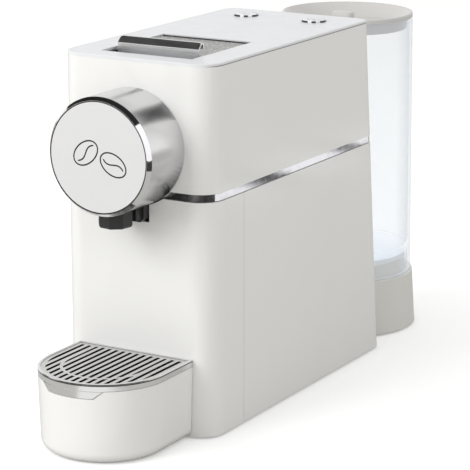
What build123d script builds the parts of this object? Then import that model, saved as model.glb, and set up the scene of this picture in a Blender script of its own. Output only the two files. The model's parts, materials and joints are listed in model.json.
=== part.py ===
from build123d import *
import math
import os

# Pod coffee machine: a slim box with a round brew head on its front, a lever door in its top,
# a clear round water tank behind it and a D-shaped drip tray in front.
# Millimetres, +Z up, the front faces -Y. Sub-parts are drawn with the body's front face at y = 0
# and z = 0 on the worktop, and save() moves them to the centre of the whole machine's length.

# ---- driving dimensions ----
BODY_W = 118.0  # width of the body
BODY_H = 254.0  # height of the body
BODY_D = 226.5  # depth of the body at its top
REAR_LEAN = 26.0  # how much deeper the body is at the worktop
CORNER_FRONT = 17.0  # radius of the front vertical corners
CORNER_REAR = 9.0  # radius of the rear vertical corners
WALL = 2.4  # moulded wall
GAP = 0.4  # gap between pieces that move apart
FOOT_H = 1.5  # rubber feet
BAND_Z0 = 162.9  # chrome band, lower edge
BAND_Z1 = 167.6  # chrome band, upper edge
COVER_T = 2.2  # top cover plate

BIN_D = 43.4  # used-pod bin, the lower front of the body
BIN_FLOOR_Z = 1.2  # underside of the bin
NOTCH_Z = 145.2  # foot of the notch that lets the bin slide past the spout

HEAD_R = 39.4  # brew head drum
HEAD_Z = 195.6  # brew head axis height
HEAD_REACH = 39.4  # drum length in front of the body
DISC_R = 37.0  # flat front disc
BEZEL_RISE = 2.9  # how far the bezel slopes forward to the disc
NOZZLE_Y = -22.6  # spout axis
NOZZLE_R = 11.8  # spout, over its corners
NOZZLE_Z0 = 146.0
SPOUT_PLATE = 11.2  # half width of the plate behind the spout

TRAY_HALF = 45.0  # drip tray half width, and the radius of its nose
TRAY_STRAIGHT = 36.5  # straight sides in front of the body
TRAY_TOP = 55.4  # top of the chrome rim
RIM_H = 4.5
TAB_HALF = 23.0  # chrome pull tab, half width at its top
TAB_H = 5.2
TRAY_Z0 = 0.5
TRAY_DRAFT = 1.5
TRAY_HOOK_X = 24.0  # hooks that hold the tray on the bin

TANK_Y = 304.4  # tank axis
TANK_R = 50.2  # tank at its mouth
TANK_FOOT_R = 51.8  # tank at its skirt
TANK_WALL = 2.4
TANK_Z0 = 44.2  # bottom of the tank's skirt
TANK_Z1 = 241.6  # top of the tank's wall
TANK_FLOOR_Z = 62.5  # top of the tank's raised floor
LID_TOP = 245.6
LID_SKIRT_R = 46.6
LID_SKIRT_Z = 233.5  # underside of the lid's skirt
PEDESTAL_R = 53.3  # pedestal at its top
PEDESTAL_FLARE = 2.6
TUNNEL_HALF = 34.0  # passage for the hose between the body and the pedestal
TUNNEL_Z = 35.5
PEDESTAL_H = 43.4
NECK_R = 47.0
NECK_TOP = 54.5
OUTLET_Y = 282.0  # tank outlet

RECESS_HALF = 35.5  # lever recess in the top cover
RECESS_Y0 = 16.0
RECESS_Y1 = 96.5
HINGE_Y = 91.0
HINGE_Z = 249.5
PIN_R = 1.5
LEVER_OPEN = 80.0  # lever travel in degrees
GRIP_Y = 31.0
GRIP_HALF = 31.5
GRIP_TOP = 261.6
PLATE_Z = 252.2  # underside of the lever plate
SHEET = 1.1  # lever sheet metal

CHAMBER_Y = 32.0  # parting plane of the brewing chamber
CHAMBER_TRAVEL = 14.0  # how far the rear half moves back
POD_R = 22.2
POD_DEPTH = 5.0
SEAL_T = 1.2  # ring seal on the chamber's front half
CAM_PIN_Y = HINGE_Y - 35.0
CAM_PIN_Z = HINGE_Z - 12.0
CAM_PIN_R = 2.0
CAM_X0 = 26.0
CAM_X1 = 29.0
ROD_X = 34.0
ROD_Z = 182.0
ROD_R = 3.0

BUTTON_X = 28.0
BUTTON_Y = 197.5
BUTTON_R = 8.9
BUTTON_PROUD = 1.3  # how far the buttons stand out of the cover

PUMP_X = 18.0
PUMP_Z = 62.0
METER_X = -22.0
METER_Y = 230.0

FEET = [(-43, 53.5), (43, 53.5), (-30, 326), (30, 326)]
BASE_SCREWS = [(-52.2, 62), (52.2, 62), (-52.2, 216), (52.2, 216)]

TOTAL_LENGTH = TRAY_STRAIGHT + TRAY_HALF + TANK_Y + PEDESTAL_R + PEDESTAL_FLARE
CENTRE_Y = TOTAL_LENGTH / 2 - TRAY_STRAIGHT - TRAY_HALF


# ---- small shape helpers ----
def block(x0, x1, y0, y1, z0, z1):
    centre = ((x0 + x1) / 2, (y0 + y1) / 2, (z0 + z1) / 2)
    return Pos(*centre) * Box(x1 - x0, y1 - y0, z1 - z0)


def slab(half_x, y0, y1, z0, z1):
    return block(-half_x, half_x, y0, y1, z0, z1)


def rod_x(radius, x0, x1, y, z):
    return Pos((x0 + x1) / 2, y, z) * Rot(0, 90, 0) * Cylinder(radius, x1 - x0)


def rod_y(radius, y0, y1, x, z):
    return Pos(x, (y0 + y1) / 2, z) * Rot(90, 0, 0) * Cylinder(radius, y1 - y0)


def rod_z(radius, z0, z1, x, y):
    return Pos(x, y, (z0 + z1) / 2) * Cylinder(radius, z1 - z0)


def cone_z(radius0, radius1, z0, z1, x, y):
    return Pos(x, y, (z0 + z1) / 2) * Cone(radius0, radius1, z1 - z0)


def side_profile(points, half_x):
    """A closed outline of (y, z) points, extruded both ways along X."""
    face = make_face(Plane.YZ * Polyline(*points, close=True))
    return extrude(face, amount=half_x, both=True)


def mirrored(shape):
    return shape + mirror(shape, about=Plane.YZ)


def hose(points, radius, bore, bend):
    """A round tube along straight runs joined by tangent arcs."""
    path = FilletPolyline(*points, radius=bend)
    plane = Plane(origin=path @ 0, z_dir=path % 0)
    section = plane * (Circle(radius) - Circle(bore))
    return sweep(section, path=path)


def save(shape, name):
    export_step(Pos(0, -CENTRE_Y, 0) * shape, "parts/" + name + ".step")


# ---- body outline ----
def rear_y(z):
    return BODY_D + REAR_LEAN * (1 - z / BODY_H)


def body_outline(z, inset):
    half = BODY_W / 2 - inset
    depth = rear_y(z) - 2 * inset
    outline = Pos(0, inset + depth / 2) * Rectangle(2 * half, depth)
    outline = fillet(outline.vertices().group_by(Axis.Y)[0], CORNER_FRONT - inset)
    outline = fillet(outline.vertices().group_by(Axis.Y)[-1], CORNER_REAR - inset)
    return Pos(0, 0, z) * outline


def body_block(z0, z1, inset=0.0):
    return loft([body_outline(z0, inset), body_outline(z1, inset)], ruled=True)


def hose_passage():
    return slab(TUNNEL_HALF, 238, 275, 0, TUNNEL_Z)


def head_notch(radius, plate_half, plate_z):
    """Room for the drum and the spout bridge in a front wall."""
    notch = rod_y(radius, -5, 10, 0, HEAD_Z)
    return notch + slab(plate_half, -5, 10, plate_z, HEAD_Z)


# ---- casings ----
def lower_casing():
    z0 = FOOT_H
    z1 = BAND_Z0 - 0.5
    shell = body_block(z0, z1) - body_block(z0 - 1, z1 + 1, WALL)
    shell = shell - slab(BODY_W, -1, BIN_D + GAP, 0, BODY_H) - hose_passage()
    boss_z0 = FOOT_H + 2.5
    for x, y in BASE_SCREWS:
        rib_x0, rib_x1 = sorted((x, math.copysign(BODY_W / 2 - 2, x)))
        shell += rod_z(4.6, boss_z0, 24, x, y)
        shell += block(rib_x0, rib_x1, y - 1.2, y + 1.2, boss_z0, 24)
        shell -= rod_z(1.5, boss_z0 - 1, 20, x, y)
    for y in (76, 154):
        for z in (66, 134):
            shell += rod_x(3.2, -58, -52, y, z)
    return shell


def upper_casing():
    z0 = BAND_Z1 + 0.2
    z1 = BODY_H - COVER_T
    shell = body_block(z0, z1) - body_block(z0 - 1, z1 + 1, WALL)
    shell -= rod_y(30, -2, 6, 0, HEAD_Z)
    boss_z0 = z0 + 8
    for x in (-54.4, 54.4):
        for y in (40, 200):
            shell += rod_z(3.6, boss_z0, z1, x, y)
            shell -= rod_z(1.2, z1 - 12, z1 + 1, x, y)
    return shell


def chrome_band():
    recess = 0.4
    band = body_block(BAND_Z0, BAND_Z1, recess) - body_block(BAND_Z0 - 1, BAND_Z1 + 1, WALL)
    band -= rod_y(HEAD_R, -5, 10, 0, HEAD_Z)
    return band


def recess_cut(grow, z0, z1):
    half = RECESS_HALF + grow
    return slab(half, RECESS_Y0 - grow, RECESS_Y1 + grow, z0, z1)


def top_cover():
    z0 = BODY_H - COVER_T
    edge = 0.5
    bevel = loft([body_outline(BODY_H - edge, 0), body_outline(BODY_H, edge)], ruled=True)
    plate = body_block(z0, BODY_H - edge) + bevel
    tub_z0 = 240.0
    tub = recess_cut(2.0, tub_z0, z0)
    well = slab(RECESS_HALF, RECESS_Y0, GRIP_Y + 0.8, 244.0, BODY_H + 1)
    opening = slab(RECESS_HALF, GRIP_Y + 0.8, RECESS_Y1, tub_z0 - 1, BODY_H + 1)
    cover = plate + tub - well - opening
    cover -= slab(RECESS_HALF - 4, RECESS_Y0 + 4, GRIP_Y, tub_z0 - 1, 242.0)
    for x in (-BUTTON_X, BUTTON_X):
        cover += rod_z(BUTTON_R + 1.9, z0 - 3.5, z0, x, BUTTON_Y)
        cover -= rod_z(BUTTON_R + 0.3, z0 - 4, BODY_H + 1, x, BUTTON_Y)
    cover -= rod_x(PIN_R + 0.02, -RECESS_HALF - 3, RECESS_HALF + 3, HINGE_Y, HINGE_Z)
    return cover


def base_plate():
    plate = body_block(FOOT_H, FOOT_H + 2.4, WALL + 0.2)
    plate = plate - slab(BODY_W, -1, BIN_D + 3.2, 0, 20)
    plate += rod_z(PEDESTAL_R - 1.6, FOOT_H, FOOT_H + 2.4, 0, TANK_Y) - body_block(0, 20, -0.1)
    plate += slab(TUNNEL_HALF - 1, 240, 275, FOOT_H, FOOT_H + 2.4)
    for y in (110, 160, 205):
        plate += slab(46, y - 0.8, y + 0.8, FOOT_H + 2.4, FOOT_H + 6)
    for x, y in FEET:
        plate -= rod_z(2.0, 0, 20, x, y)
    for x, y in BASE_SCREWS:
        plate -= rod_z(1.6, 0, 20, x, y)
    return plate


def rubber_feet():
    feet = []
    for x, y in FEET:
        pad = rod_z(7.5, 0, FOOT_H, x, y)
        pad = chamfer(pad.edges().group_by(Axis.Z)[0], 0.5)
        feet.append(pad + rod_z(1.95, FOOT_H, FOOT_H + 3.5, x, y))
    return Compound(feet)


def casing_screws():
    screws = []
    for x, y in BASE_SCREWS:
        screw = rod_z(1.45, FOOT_H, 18, x, y) + rod_z(3.0, FOOT_H - 1.2, FOOT_H, x, y)
        screws.append(screw - block(x - 2, x + 2, y - 0.4, y + 0.4, 0, FOOT_H - 0.6))
    return Compound(screws)


def bulkhead():
    y0 = BIN_D + 0.9
    wall = slab(BODY_W / 2 - WALL - 0.1, y0, y0 + 2.0, FOOT_H + 2.6, BAND_Z0 - 1)
    wall -= slab(34, y0 - 1, y0 + 3, 141, 200)
    for x in (-50, 50):
        wall += block(x - 3, x + 3, 14, y0 + 1, 12, 16)
    return wall


# ---- brew head on the front ----
def head_shell():
    drum = rod_y(HEAD_R, -HEAD_REACH, 0, 0, HEAD_Z)
    hollow = rod_y(HEAD_R - 1.8, -HEAD_REACH - 1, -3, 0, HEAD_Z)
    mouth = rod_y(28, -4, 1, 0, HEAD_Z)
    spout_hole = rod_z(NOZZLE_R + 0.3, 150, 175, 0, NOZZLE_Y)
    shell = drum - hollow - mouth - spout_hole
    return shell


def head_bezel():
    axis = Pos(0, -HEAD_REACH - BEZEL_RISE / 2, HEAD_Z) * Rot(90, 0, 0)
    cone = axis * Cone(HEAD_R, DISC_R + 0.25, BEZEL_RISE)
    ring = cone + rod_y(HEAD_R - 1.85, -HEAD_REACH, -HEAD_REACH + 3.5, 0, HEAD_Z)
    ring -= rod_y(DISC_R - 1.4, -60, 0, 0, HEAD_Z)
    return ring - rod_y(DISC_R + 0.1, -60, disc_y0() + 1.2, 0, HEAD_Z)


def disc_y0():
    return -HEAD_REACH - BEZEL_RISE


def head_disc():
    y0 = disc_y0() + 0.1
    disc = rod_y(DISC_R, y0, y0 + 1.0, 0, HEAD_Z)
    rib = rod_y(DISC_R - 1.6, y0 + 1.0, y0 + 4.5, 0, HEAD_Z) - rod_y(DISC_R - 3.2, y0, 0, 0, HEAD_Z)
    return disc + rib


def spout_nozzle():
    body = Rot(0, 0, 13) * RegularPolygon(NOZZLE_R, 8)
    body = extrude(Pos(0, NOZZLE_Y, NOZZLE_Z0) * body, amount=12)
    body = fillet(body.edges().group_by(Axis.Z)[0], 2.2)
    collar = rod_z(NOZZLE_R - 1.4, NOZZLE_Z0 + 11, 166, 0, NOZZLE_Y)
    nozzle = body + collar
    nozzle -= rod_z(4.05, NOZZLE_Z0 + 5, 170, 0, NOZZLE_Y)
    nozzle -= cone_z(6.5, 2.6, NOZZLE_Z0 - 0.01, NOZZLE_Z0 + 5.01, 0, NOZZLE_Y)
    return nozzle


def spout_carrier():
    bridge = slab(SPOUT_PLATE - 1.4, NOZZLE_Y + NOZZLE_R - 2.4, 3, 148.4, 157.4)
    plate = slab(SPOUT_PLATE, -6, 3.2, NOTCH_Z + GAP + 0.6, 159.0)
    plate = chamfer(plate.edges().filter_by(Axis.Y).group_by(Axis.Z)[0], 2.5)
    backing = slab(27, 2.8, 5.0, 156.0, 176.0) & rod_y(44, 2, 6, 0, HEAD_Z)
    backing -= rod_y(29, 0, 8, 0, HEAD_Z)
    carrier = bridge + plate + backing
    carrier -= rod_y(HEAD_R + 0.05, -60, 0.05, 0, HEAD_Z)
    seat = Pos(0, NOZZLE_Y, 140) * Rot(0, 0, 13) * RegularPolygon(NOZZLE_R + 0.02, 8)
    return carrier - extrude(seat, amount=30)


# ---- brewing chamber ----
def brew_frame():
    front = slab(46, 12, 14, 170, 226) - rod_y(6, 10, 16, 0, ROD_Z)
    side = block(44.5, 46, 12, 98, 172, 226)
    side -= rod_x(14, 40, 50, 66, 200)
    rear = slab(46, 96.5, 98, 172, 212) - rod_y(8, 94, 100, 0, HEAD_Z)
    frame = front + mirrored(side) + rear
    for x in (-ROD_X, ROD_X):
        frame -= rod_y(ROD_R + 0.02, 90, 100, x, ROD_Z)
        frame -= rod_y(ROD_R + 0.02, 10, 20, x, ROD_Z)
    return frame


def guide_rods():
    rods = []
    for x in (-ROD_X, ROD_X):
        rods.append(rod_y(ROD_R, 11.0, 99.5, x, ROD_Z))
    return Compound(rods)


def brew_seat():
    """The front half of the chamber: a back plate with the outlet, and a ring that holds the pod."""
    joint_y = CHAMBER_Y - POD_DEPTH
    seat = rod_y(27, 14.1, joint_y, 0, HEAD_Z)
    seat -= rod_y(2.5, 10, CHAMBER_Y, 0, ROD_Z)
    seat -= rod_y(4.05, 10, 20, 0, ROD_Z)
    ring = rod_y(27, joint_y, CHAMBER_Y - SEAL_T, 0, HEAD_Z)
    ring -= rod_y(POD_R, joint_y - 1, CHAMBER_Y, 0, HEAD_Z)
    return Compound([seat, ring])


def seat_gasket():
    seal = rod_y(26.0, CHAMBER_Y - SEAL_T, CHAMBER_Y - 0.1, 0, HEAD_Z)
    return seal - rod_y(23.3, CHAMBER_Y - 3, CHAMBER_Y + 1, 0, HEAD_Z)


def outlet_pipe():
    points = [(0, 19, ROD_Z), (0, NOZZLE_Y, ROD_Z), (0, NOZZLE_Y, NOZZLE_Z0 + 5.5)]
    return hose(points, 4.0, 2.4, 10)


def pod_chute():
    y0 = CHAMBER_Y - 1.4
    y1 = CHAMBER_Y + CHAMBER_TRAVEL + 0.6
    walls = slab(33, y0 - 1.4, y1 + 1.2, 226, 239)
    walls -= slab(31, y0, y1, 220, 245)
    deck = slab(23.4, y1 + 1.1, 89, 237.4, 239)
    legs = mirrored(block(31, 33, y0 - 1.4, y1 + 1.2, 223, 227))
    tabs = mirrored(block(32.9, 44.4, y0 + 4, y0 + 8, 223, 225))
    return walls + deck + legs + tabs


def pod_deflector():
    points = [(47.4, 168), (39.6, 146), (39.6, 143), (41.2, 143), (41.2, 146), (49.0, 168)]
    return side_profile(points, 32.5)


def piston_body():
    y0 = CHAMBER_Y + GAP
    head = rod_y(26.5, y0, y0 + 13.6, 0, HEAD_Z)
    head -= rod_y(POD_R, y0 - 1, y0 + 1.2, 0, HEAD_Z)
    head -= rod_y(20.0, y0, y0 + 3.2, 0, HEAD_Z)
    yoke = slab(41, y0 + 13.6, y0 + 21, 174, 214)
    arms = mirrored(block(31.2, 34.8, CAM_PIN_Y - 4, CAM_PIN_Y + 4, 205, CAM_PIN_Z + 4))
    piston = head + yoke + arms
    arm_blend = mirrored(block(31.2, 34.8, y0 + 13.6, CAM_PIN_Y + 4, 200, 214))
    piston += arm_blend
    for x in (-ROD_X, ROD_X):
        piston += rod_y(6.0, y0 + 13.6, y0 + 28, x, ROD_Z)
        piston -= rod_y(ROD_R + 0.06, 0, 120, x, ROD_Z)
    piston -= rod_y(3.0, y0, 120, 0, HEAD_Z)
    piston -= rod_x(CAM_PIN_R, -40, 40, CAM_PIN_Y, CAM_PIN_Z)
    return piston


def piston_seal():
    y0 = CHAMBER_Y + GAP
    groove = rod_y(26.9, y0 + 4, y0 + 6.4, 0, HEAD_Z)
    return groove - rod_y(26.5, 0, 120, 0, HEAD_Z)


def shower_screen():
    y0 = CHAMBER_Y + GAP + 1.3
    screen = rod_y(19.9, y0, y0 + 0.8, 0, HEAD_Z)
    holes = []
    for ring in range(1, 4):
        for step in range(6 * ring):
            angle = 2 * math.pi * step / (6 * ring)
            radius = ring * 5.4
            x = radius * math.cos(angle)
            z = HEAD_Z + radius * math.sin(angle)
            holes.append(rod_y(0.9, y0 - 1, y0 + 2, x, z))
    return screen - Compound(holes)


def cam_pins():
    pins = []
    for side in (-1, 1):
        x0, x1 = sorted((side * (CAM_X0 - 0.8), side * 34.8))
        pins.append(rod_x(CAM_PIN_R, x0, x1, CAM_PIN_Y, CAM_PIN_Z))
    return Compound(pins)


def feed_pipe():
    y0 = CHAMBER_Y + GAP + 3.4
    return rod_y(3.0, y0, 112, 0, HEAD_Z) - rod_y(1.6, 0, 200, 0, HEAD_Z)


# ---- lever ----
def cam_path(offset):
    """Points of the cam slot's edge, relative to the hinge, in the closed lever."""
    points = []
    steps = 16
    for step in range(steps + 1):
        turn = math.radians(LEVER_OPEN) * step / steps
        y = CAM_PIN_Y - HINGE_Y + CHAMBER_TRAVEL * step / steps
        z = CAM_PIN_Z - HINGE_Z
        local_y = y * math.cos(turn) - z * math.sin(turn)
        local_z = y * math.sin(turn) + z * math.cos(turn)
        length = math.hypot(local_y, local_z)
        grow = (length + offset) / length
        points.append((HINGE_Y + local_y * grow, HINGE_Z + local_z * grow))
    return points


def cam_cheek():
    edge = cam_path(CAM_PIN_R + 4.0)
    outer = Spline(*edge)
    closing = Polyline(edge[-1], (HINGE_Y + 2.4, HINGE_Z), (HINGE_Y, 250.6), (edge[0][0], 250.6), edge[0])
    cheek = extrude(make_face(Plane.YZ * (outer + closing)), amount=CAM_X1 - CAM_X0)
    far = cam_path(CAM_PIN_R + 0.3)
    near = cam_path(-CAM_PIN_R - 0.3)
    far_curve = Spline(*far)
    near_curve = Spline(*near)
    ends = Line(far[-1], near[-1]) + Line(near[0], far[0])
    slot = extrude(make_face(Plane.YZ * (far_curve + near_curve + ends)), amount=CAM_X1 - CAM_X0)
    middle = cam_path(0.0)
    for y, z in (middle[0], middle[-1]):
        slot += rod_x(CAM_PIN_R + 0.3, 0, CAM_X1 - CAM_X0, y, z)
    return Pos(CAM_X0, 0, 0) * (cheek - slot)


def lever_carrier():
    web = slab(34.4, 32.6, 94, 250.4, PLATE_Z) + slab(34.4, 92.5, 94, PLATE_Z, 253.7)
    rails = mirrored(block(30.6, 34.4, 33, 94, 247.0, 250.4))
    barrel = rod_x(2.7, -34.4, 34.4, HINGE_Y, HINGE_Z)
    carrier = web + rails + barrel + mirrored(cam_cheek())
    return carrier - rod_x(PIN_R + 0.06, -40, 40, HINGE_Y, HINGE_Z)


def lever_plate():
    """A flat sheet whose front edge stands up as a grip and is folded back over at the top."""
    top_z = PLATE_Z + 1.0
    plate = slab(34.9, GRIP_Y + 0.5, 92.4, PLATE_Z, top_z)
    bend = 1.6
    depth = 7.2
    skirt_z = 246.0
    hook_z = 257.2
    outer = [
        (GRIP_Y, skirt_z),
        (GRIP_Y, GRIP_TOP - 3.9),
        (GRIP_Y + 4.2, GRIP_TOP),
        (GRIP_Y + depth, GRIP_TOP),
        (GRIP_Y + depth, hook_z),
    ]
    inner = [
        (GRIP_Y + depth - SHEET, hook_z),
        (GRIP_Y + depth - SHEET, GRIP_TOP - SHEET),
        (GRIP_Y + 4.7, GRIP_TOP - SHEET),
        (GRIP_Y + SHEET, GRIP_TOP - 4.4),
        (GRIP_Y + SHEET, skirt_z),
    ]
    section = make_face(Plane.YZ * Polyline(*outer, *inner, close=True))
    bends = section.vertices().filter_by(lambda v: GRIP_TOP - 5 < v.Z and v.Z > hook_z + 0.1)
    section = fillet(bends, 0.9)
    grip = extrude(section, amount=GRIP_HALF, both=True)
    front = Pos(0, 0, (skirt_z + GRIP_TOP) / 2) * Box(2 * GRIP_HALF, 200, GRIP_TOP - skirt_z)
    front = fillet(front.edges().filter_by(Axis.Y).group_by(Axis.Z)[-1], bend)
    return plate + (grip & front)


def lever_hinge_pin():
    return rod_x(PIN_R, -RECESS_HALF - 1.9, RECESS_HALF + 1.9, HINGE_Y, HINGE_Z)


def door_microswitch():
    switch = block(38.5, 44.3, 64, 84, 233, 243)
    switch -= rod_x(1.2, 30, 50, 69, 238) + rod_x(1.2, 30, 50, 79, 238)
    leaf = block(40.5, 42.5, 62, 80, 243, 243.4)
    bracket = block(44.3, 45.8, 62, 86, 226, 243)
    return switch + leaf + bracket


# ---- buttons ----
def button(x):
    cap = rod_z(BUTTON_R, BODY_H - 2.6, BODY_H + BUTTON_PROUD, x, BUTTON_Y)
    cap = fillet(cap.edges().group_by(Axis.Z)[-1], 0.4)
    cap -= rod_z(BUTTON_R - 1.4, BODY_H - 4, BODY_H - 1.4, x, BUTTON_Y)
    return cap + rod_z(1.8, 246.6, BODY_H - 1.2, x, BUTTON_Y)


def key_board():
    board = slab(40, BUTTON_Y - 9, BUTTON_Y + 9, 240.0, 241.6)
    for x in (-BUTTON_X, BUTTON_X):
        board += block(x - 3, x + 3, BUTTON_Y - 3, BUTTON_Y + 3, 241.6, 244.0)
        board += rod_z(1.6, 244.0, 245.2, x, BUTTON_Y)
    board += block(-5, 5, BUTTON_Y - 8, BUTTON_Y - 3, 236.5, 240.0)
    for x in (-36, 36):
        board += rod_z(2.0, 241.6, BODY_H - COVER_T, x, BUTTON_Y + 6.5) - rod_z(
            BUTTON_R + 2, 240, 260, math.copysign(BUTTON_X, x), BUTTON_Y
        )
    return board


# ---- used-pod bin and drip tray ----
def pod_bin():
    z1 = BAND_Z0 - 0.5
    outer = body_block(BIN_FLOOR_Z, z1) & slab(BODY_W, -1, BIN_D, 0, BODY_H)
    inner = body_block(BIN_FLOOR_Z + WALL, z1 + 1, WALL) & slab(BODY_W, -1, BIN_D - WALL, 0, BODY_H)
    shell = outer - inner
    shell -= slab(BODY_W / 2 - WALL, BIN_D - WALL - 1, BIN_D + 1, 139, BODY_H)
    shell -= head_notch(HEAD_R + 0.7, SPOUT_PLATE + 0.6, NOTCH_Z)
    for x in (-50, 50):
        shell -= block(x - 3.4, x + 3.4, BIN_D - WALL - 1, BIN_D + 1, 11.6, 16.4)
    for x in (-TRAY_HOOK_X, TRAY_HOOK_X):
        shell -= block(x - 4.4, x + 4.4, -1, WALL + 1, 29.6, 33.4)
    return shell


def tray_outline(half, rear, z):
    straight = Pos(0, (rear - TRAY_STRAIGHT) / 2) * Rectangle(2 * half, rear + TRAY_STRAIGHT)
    nose = Pos(0, -TRAY_STRAIGHT) * Circle(half)
    nose = nose & (Pos(0, -TRAY_STRAIGHT - half) * Rectangle(3 * half, 2 * half))
    return Pos(0, 0, z) * (straight + nose)


def tray_block(half0, half1, rear, z0, z1):
    return loft([tray_outline(half0, rear, z0), tray_outline(half1, rear, z1)], ruled=True)


def pull_tab_sector(radius, inner, z0, z1, grow=0.0):
    """The stretch of the tray's nose that the pull tab covers, with ends that slope inwards."""
    ring = rod_z(radius, z0, z1, 0, -TRAY_STRAIGHT) - rod_z(inner, z0 - 1, z1 + 1, 0, -TRAY_STRAIGHT)
    knee = TRAY_TOP - RIM_H
    top_half = TAB_HALF + grow
    low_half = top_half - 1.2 * (knee - z0)
    right = [(top_half, z1), (top_half, knee), (low_half, z0)]
    left = [(-low_half, z0), (-top_half, knee), (-top_half, z1)]
    outline = make_face(Plane.XZ * Polyline(*right, *left, close=True))
    outline = fillet(outline.vertices().group_by(Axis.Z)[0], 2.0)
    wedge = extrude(outline, amount=TRAY_STRAIGHT + TRAY_HALF + 5, both=True)
    return ring & (wedge - slab(30, -TRAY_STRAIGHT - 20, 100, z0 - 1, z1 + 1))


def drip_tray():
    rear = -GAP
    top = TRAY_TOP - RIM_H - 0.3
    outer = tray_block(TRAY_HALF - TRAY_DRAFT, TRAY_HALF, rear, TRAY_Z0, top)
    bottom_edges = outer.edges().group_by(Axis.Z)[0].filter_by(lambda e: e.center().Y < -1)
    outer = fillet(bottom_edges, 7)
    wall = 2.2
    inner_half = TRAY_HALF - wall
    inner = tray_block(inner_half - TRAY_DRAFT, inner_half, rear - wall, TRAY_Z0 + wall, top + 1)
    inner_edges = inner.edges().group_by(Axis.Z)[0].filter_by(lambda e: e.center().Y < rear - wall - 1)
    inner = fillet(inner_edges, 5)
    tray = outer - inner
    tray -= pull_tab_sector(TRAY_HALF + 1, TRAY_HALF - 1.6, TRAY_TOP - RIM_H - TAB_H - GAP, TRAY_TOP, 1.0)
    for x in (-TRAY_HOOK_X, TRAY_HOOK_X):
        tray += block(x - 4, x + 4, rear - 1, WALL + 1.5, 30, 33)
    return tray


def grille_rim():
    rear = -GAP
    z0 = TRAY_TOP - RIM_H
    rim = extrude(tray_outline(TRAY_HALF, rear, z0), amount=RIM_H)
    rim = chamfer(rim.edges().group_by(Axis.Z)[-1], 0.5)
    rim -= extrude(tray_outline(TRAY_HALF - 1.9, rear - 1.9, z0 + 2.4), amount=RIM_H)
    rim -= extrude(tray_outline(TRAY_HALF - 4.2, rear - 4.2, z0 - 1), amount=RIM_H + 2)
    lip = extrude(tray_outline(TRAY_HALF - 2.6, rear - 2.6, z0 - 2.5), amount=2.6)
    lip -= extrude(tray_outline(TRAY_HALF - 4.2, rear - 4.2, z0 - 3), amount=4)
    tab = pull_tab_sector(TRAY_HALF - 0.1, TRAY_HALF - 1.4, z0 - TAB_H, z0 + 0.1)
    tab -= tab_groove()
    return rim + lip + tab


def tab_groove():
    """A fine groove that parts the pull tab from the rim above it."""
    z0 = TRAY_TOP - RIM_H
    groove = rod_z(TRAY_HALF + 1, z0 - 0.6, z0, 0, -TRAY_STRAIGHT)
    return groove - rod_z(TRAY_HALF - 0.8, z0 - 1, z0 + 1, 0, -TRAY_STRAIGHT)


def grille_plate():
    half = TRAY_HALF - 2.0
    rear = -GAP - 2.0
    z0 = TRAY_TOP - RIM_H + 2.4
    sheet = 1.4
    margin = 3.2
    land_outer = 30.5
    land_inner = 28.3
    plate = extrude(tray_outline(half, rear, z0), amount=sheet)
    field = extrude(tray_outline(half - margin, rear - margin, z0 - 1), amount=sheet + 2)
    land = extrude(tray_outline(land_outer, rear - margin + 1, z0 - 2), amount=sheet + 4)
    land -= extrude(tray_outline(land_inner, rear - margin + 2, z0 - 3), amount=sheet + 6)
    slots = []
    pitch = 5.5
    for step in range(-7, 8):
        slots.append(block(step * pitch - 1.3, step * pitch + 1.3, -90, 5, z0 - 1, z0 + sheet + 1))
    return plate - ((Compound(slots) & field) - land)


# ---- water tank and its pedestal ----
def tank_pedestal():
    outer = cone_z(PEDESTAL_R + PEDESTAL_FLARE, PEDESTAL_R, FOOT_H, PEDESTAL_H, 0, TANK_Y)
    outer = chamfer(outer.edges().group_by(Axis.Z)[-1], 0.6)
    inner_z1 = PEDESTAL_H - 2.2
    inner = cone_z(PEDESTAL_R + PEDESTAL_FLARE - 2.2, PEDESTAL_R - 2.2, FOOT_H - 0.01, inner_z1, 0, TANK_Y)
    neck = rod_z(NECK_R, PEDESTAL_H - 2, NECK_TOP, 0, TANK_Y)
    neck_inner = rod_z(NECK_R - 2.2, FOOT_H, NECK_TOP - 2.2, 0, TANK_Y)
    tunnel = slab(TUNNEL_HALF + 2.2, 240, 275, FOOT_H, TUNNEL_Z + 2.2) - inner
    shell = outer - inner + tunnel + neck - neck_inner
    shell -= body_block(0, PEDESTAL_H + 0.5, -0.02)
    shell -= hose_passage()
    shell -= rod_z(9.8, 40, 60, 0, OUTLET_Y)
    shell -= rod_x(6.0, -60, -45, TANK_Y, 20)
    return shell


def tank_nipple():
    tube = rod_z(4.4, 34, 56.6, 0, OUTLET_Y)
    flange = rod_z(14, 49.9, 52.2, 0, OUTLET_Y) - rod_z(9.7, 40, 60, 0, OUTLET_Y)
    arms = slab(12, OUTLET_Y - 1.5, OUTLET_Y + 1.5, 38.6, 41.2)
    arms += mirrored(block(10.2, 12.4, OUTLET_Y - 1.5, OUTLET_Y + 1.5, 38.6, 50.5))
    nipple = tube + flange + arms
    return nipple - rod_z(2.6, 30, 60, 0, OUTLET_Y)


def nipple_seal():
    return rod_z(6.1, 50.6, 53.0, 0, OUTLET_Y) - rod_z(4.4, 48, 60, 0, OUTLET_Y)


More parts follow.
